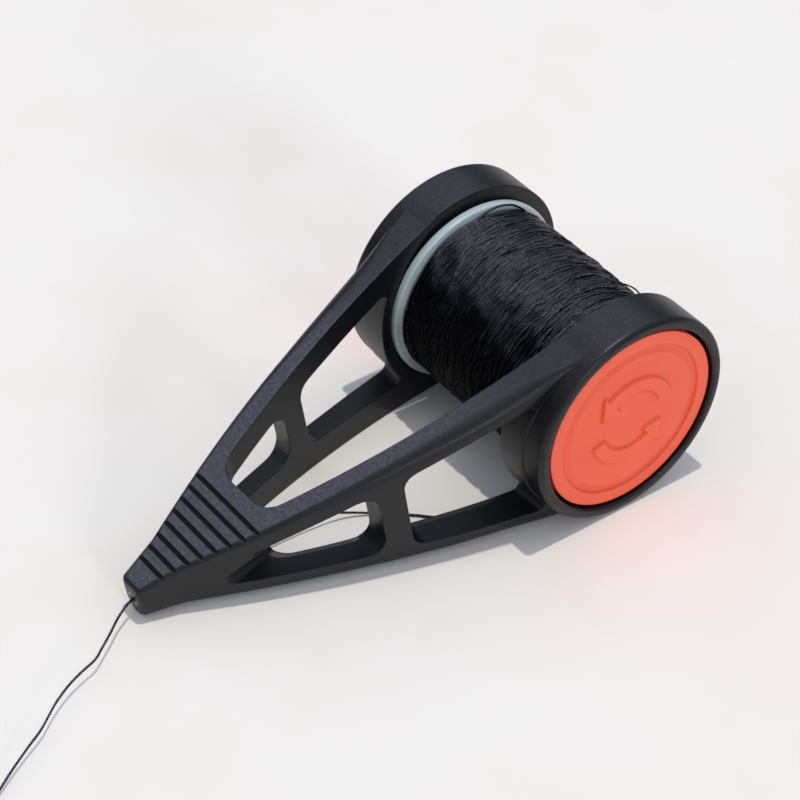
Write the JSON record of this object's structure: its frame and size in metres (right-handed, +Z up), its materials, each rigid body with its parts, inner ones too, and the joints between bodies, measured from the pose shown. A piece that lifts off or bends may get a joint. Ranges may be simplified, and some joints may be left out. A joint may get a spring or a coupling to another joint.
{
  "type": "line bobbin holder",
  "caption": "Spring-fork holder for a bobbin of line: a moulded truss fork carries the bobbin between two round cups with turning dials and leads the line out through its nose",
  "frame": {"origin": "on the table under the middle of the holder's length and width", "axes": "+X along the axle to the right cup, +Y from the nose to the cups, +Z up; the fork lies on its lower edges"},
  "size_m": [0.0534, 0.1467, 0.04],
  "materials": {
    "frame_plastic": "matte black moulding",
    "dial_plastic": "matte orange moulding",
    "bobbin_plastic": "pale translucent moulding",
    "line": "black twisted fibre",
    "ring_ceramic": "polished ceramic",
    "spindle_steel": "turned steel",
    "spring_steel": "blued spring steel",
    "bush_bronze": "sintered bronze",
    "washer_felt": "pressed felt"
  },
  "bodies": {
    "frame": {"frame": "frame_plastic", "tip_ring": "ring_ceramic", "inlet_ring": "ring_ceramic", "left_bush": "bush_bronze", "right_bush": "bush_bronze", "left_drag_washer": "washer_felt", "right_drag_washer": "washer_felt", "left_thrust_washer": "spindle_steel", "right_thrust_washer": "spindle_steel", "line_run": "line", "line_tail": "line"},
    "bobbin": {"bobbin": "bobbin_plastic", "line_core": "line", "line_winding": "line"},
    "left_dial": {"left_dial": "dial_plastic", "left_spindle": "spindle_steel", "left_spring_washer": "spring_steel"},
    "right_dial": {"right_dial": "dial_plastic", "right_spindle": "spindle_steel", "right_spring_washer": "spring_steel"}
  },
  "joints": [
    {"name": "bobbin_spin", "type": "hinge", "parent": "frame", "child": "bobbin", "pos_m": [0, 0.03157, 0.02], "axis": [1, 0, 0], "continuous": true},
    {"name": "left_dial_spin", "type": "hinge", "parent": "frame", "child": "left_dial", "pos_m": [-0.02, 0.03157, 0.02], "axis": [1, 0, 0], "continuous": true},
    {"name": "right_dial_spin", "type": "hinge", "parent": "frame", "child": "right_dial", "pos_m": [0.02, 0.03157, 0.02], "axis": [1, 0, 0], "continuous": true}
  ],
  "couplings": [
    {"joint": "left_dial_spin", "follows": "bobbin_spin", "ratio": 1},
    {"joint": "right_dial_spin", "follows": "bobbin_spin", "ratio": 1}
  ]
}
